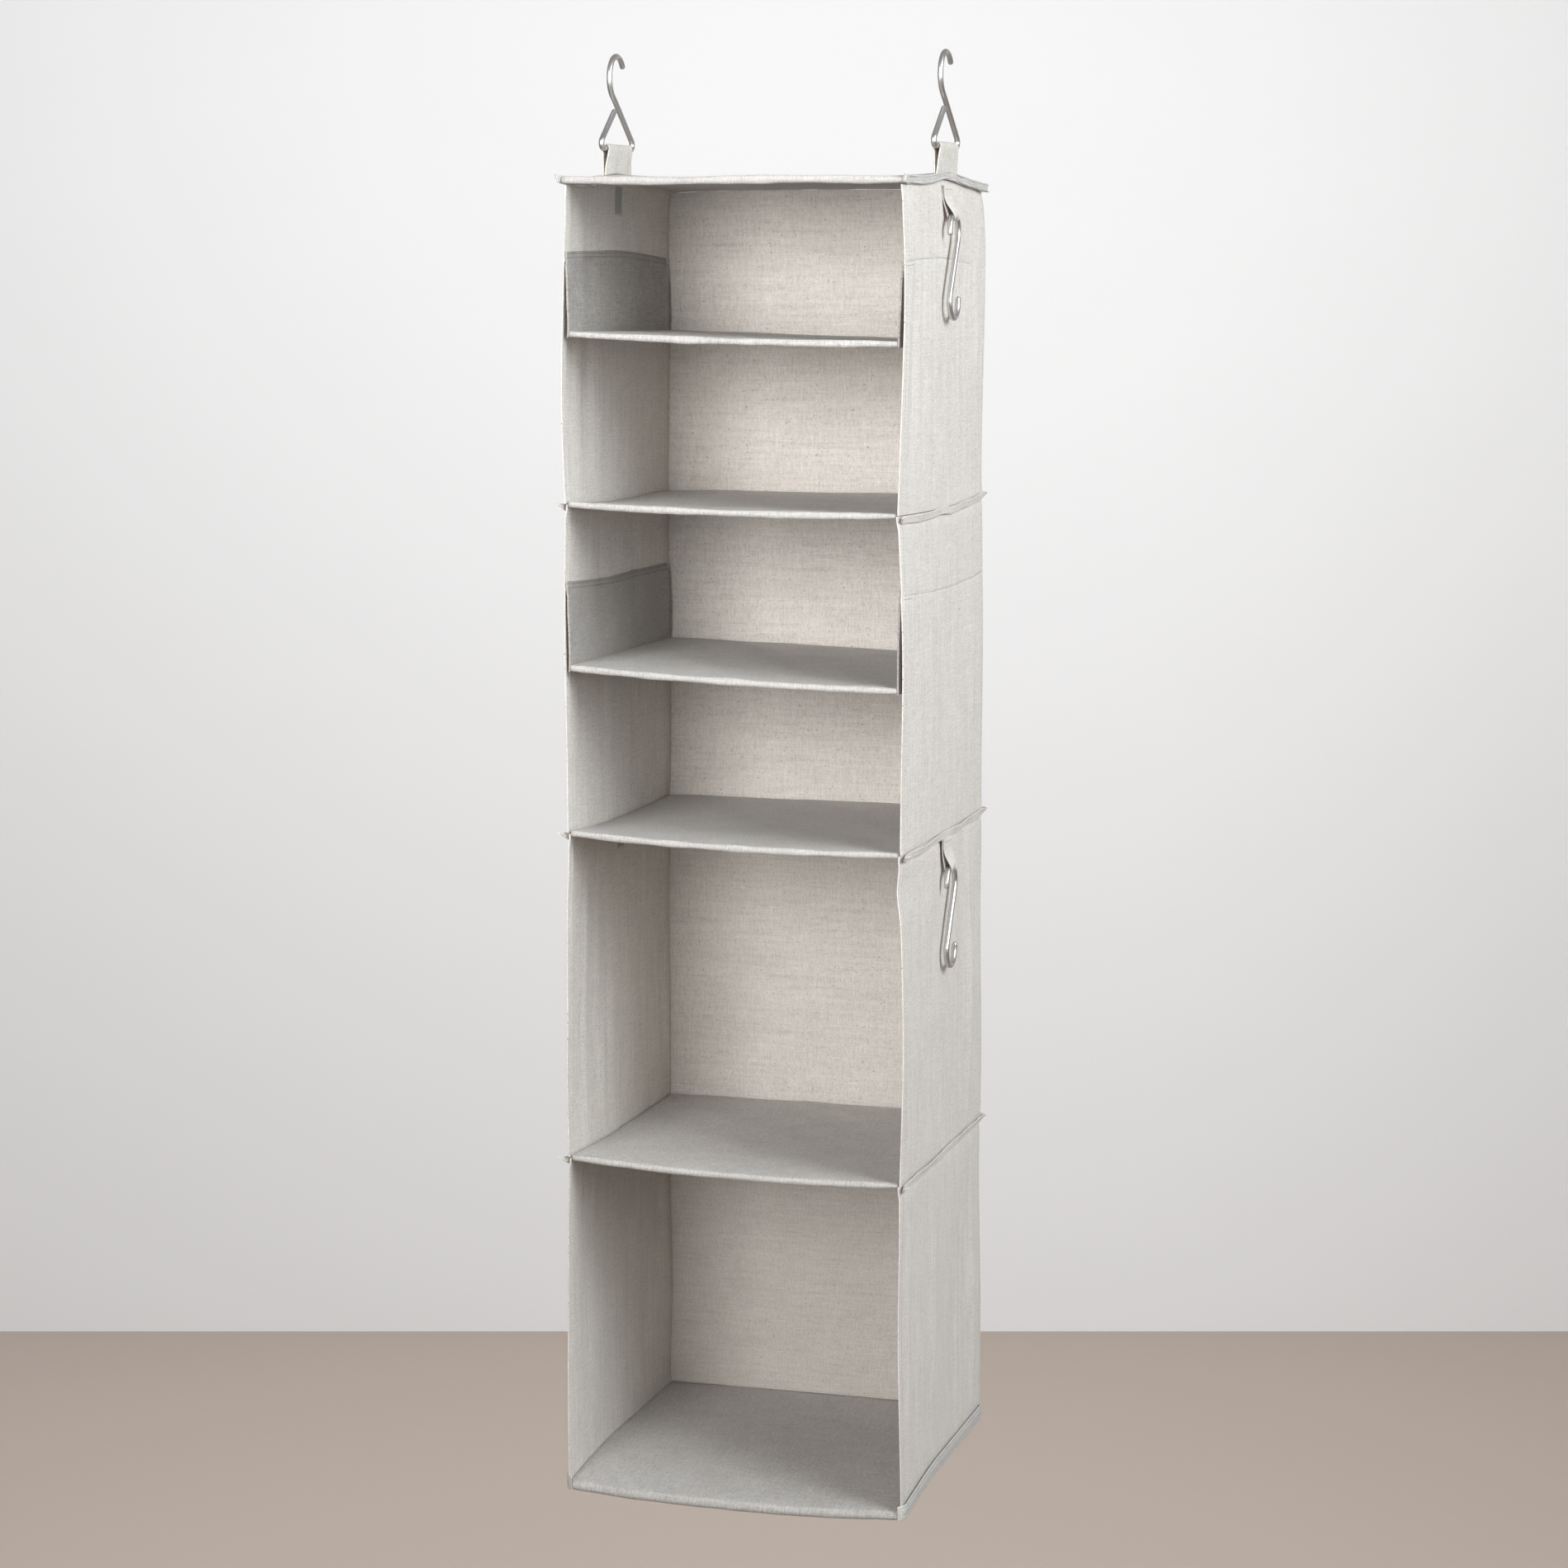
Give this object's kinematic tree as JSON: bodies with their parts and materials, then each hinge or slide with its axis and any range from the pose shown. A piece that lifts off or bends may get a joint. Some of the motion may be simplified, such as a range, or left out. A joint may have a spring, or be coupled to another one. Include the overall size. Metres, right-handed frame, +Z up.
{
  "type": "hanging closet organizer",
  "caption": "Hanging fabric closet organizer with open-front compartments, wire rod hooks on webbing loops and small wire hooks on the sides; it folds flat level by level.",
  "frame": {"origin": "centre of the closet rod the hooks hang on, midway between the two hooks", "axes": "+Z up, +X to the right seen from the open front, the open front faces -Y; the rod runs along X"},
  "size_m": [0.3262, 0.2947, 1.264],
  "materials": {
    "linen": "natural slubby plain weave",
    "grey_weave": "grey heathered plain weave",
    "board": "stiff pressed board, hidden inside the covers",
    "steel": "satin bright steel wire"
  },
  "bodies": {
    "organizer": {"top_cover": "grey_weave", "top_board": "board", "strap_left": "linen", "strap_right": "linen", "side_left_1": "linen", "side_right_1": "linen", "back_1": "linen", "shelf_1_flap_left": "grey_weave", "shelf_1_flap_right": "grey_weave", "hook_tape_upper_left": "linen", "hook_tape_upper_right": "linen"},
    "shelf_1_sling": {"shelf_1_cover": "grey_weave", "shelf_1_board": "board"},
    "level_2": {"shelf_2_cover": "grey_weave", "shelf_2_board": "board", "seam_band_2": "linen", "side_left_2": "linen", "side_right_2": "linen", "back_2": "linen", "shelf_3_flap_left": "grey_weave", "shelf_3_flap_right": "grey_weave"},
    "shelf_3_sling": {"shelf_3_cover": "grey_weave", "shelf_3_board": "board"},
    "level_4": {"shelf_4_cover": "grey_weave", "shelf_4_board": "board", "seam_band_4": "linen", "side_left_3": "linen", "side_right_3": "linen", "back_3": "linen", "hook_tape_lower_left": "linen", "hook_tape_lower_right": "linen"},
    "level_5": {"shelf_5_cover": "grey_weave", "shelf_5_board": "board", "seam_band_5": "linen", "side_left_4": "linen", "side_right_4": "linen", "back_4": "linen"},
    "level_6": {"bottom_cover": "grey_weave", "bottom_board": "board", "bottom_binding": "grey_weave"},
    "rod_hook_left": {"rod_hook_left": "steel"},
    "rod_hook_right": {"rod_hook_right": "steel"},
    "side_hook_upper_left": {"side_hook_upper_left": "steel"},
    "side_hook_upper_right": {"side_hook_upper_right": "steel"},
    "side_hook_lower_left": {"side_hook_lower_left": "steel"},
    "side_hook_lower_right": {"side_hook_lower_right": "steel"}
  },
  "joints": [
    {"name": "section_1_collapse", "type": "slide", "parent": "organizer", "child": "level_2", "axis": [0, 0, 1], "range_m": [0, 0.225], "deforming": ["side_left_1", "side_right_1", "back_1", "shelf_1_flap_left", "shelf_1_flap_right"]},
    {"name": "section_2_collapse", "type": "slide", "parent": "level_2", "child": "level_4", "axis": [0, 0, 1], "range_m": [0, 0.225], "deforming": ["side_left_2", "side_right_2", "back_2", "shelf_3_flap_left", "shelf_3_flap_right"]},
    {"name": "section_3_collapse", "type": "slide", "parent": "level_4", "child": "level_5", "axis": [0, 0, 1], "range_m": [0, 0.225], "deforming": ["side_left_3", "side_right_3", "back_3"]},
    {"name": "section_4_collapse", "type": "slide", "parent": "level_5", "child": "level_6", "axis": [0, 0, 1], "range_m": [0, 0.225], "deforming": ["side_left_4", "side_right_4", "back_4"]},
    {"name": "shelf_1_rise", "type": "slide", "parent": "organizer", "child": "shelf_1_sling", "axis": [0, 0, 1], "range_m": [0, 0.1062]},
    {"name": "shelf_3_rise", "type": "slide", "parent": "level_2", "child": "shelf_3_sling", "axis": [0, 0, 1], "range_m": [0, 0.1153]},
    {"name": "rod_hook_left_tilt", "type": "hinge", "parent": "organizer", "child": "rod_hook_left", "pos_m": [-0.151, 0, -0.063], "axis": [0, 1, 0], "range_deg": [-100, 100]},
    {"name": "side_hook_upper_left_swing", "type": "hinge", "parent": "organizer", "child": "side_hook_upper_left", "pos_m": [-0.159, 0, -0.1365], "axis": [1, 0, 0], "range_deg": [-60, 60]},
    {"name": "side_hook_lower_left_swing", "type": "hinge", "parent": "level_4", "child": "side_hook_lower_left", "pos_m": [-0.159, 0, -0.7105], "axis": [1, 0, 0], "range_deg": [-60, 60]},
    {"name": "rod_hook_right_tilt", "type": "hinge", "parent": "organizer", "child": "rod_hook_right", "pos_m": [0.151, 0, -0.063], "axis": [0, 1, 0], "range_deg": [-100, 100]},
    {"name": "side_hook_upper_right_swing", "type": "hinge", "parent": "organizer", "child": "side_hook_upper_right", "pos_m": [0.159, 0, -0.1365], "axis": [1, 0, 0], "range_deg": [-60, 60]},
    {"name": "side_hook_lower_right_swing", "type": "hinge", "parent": "level_4", "child": "side_hook_lower_right", "pos_m": [0.159, 0, -0.7105], "axis": [1, 0, 0], "range_deg": [-60, 60]}
  ],
  "couplings": [
    {"joint": "shelf_1_rise", "follows": "section_1_collapse", "ratio": 0.4698},
    {"joint": "shelf_3_rise", "follows": "section_2_collapse", "ratio": 0.5104}
  ]
}
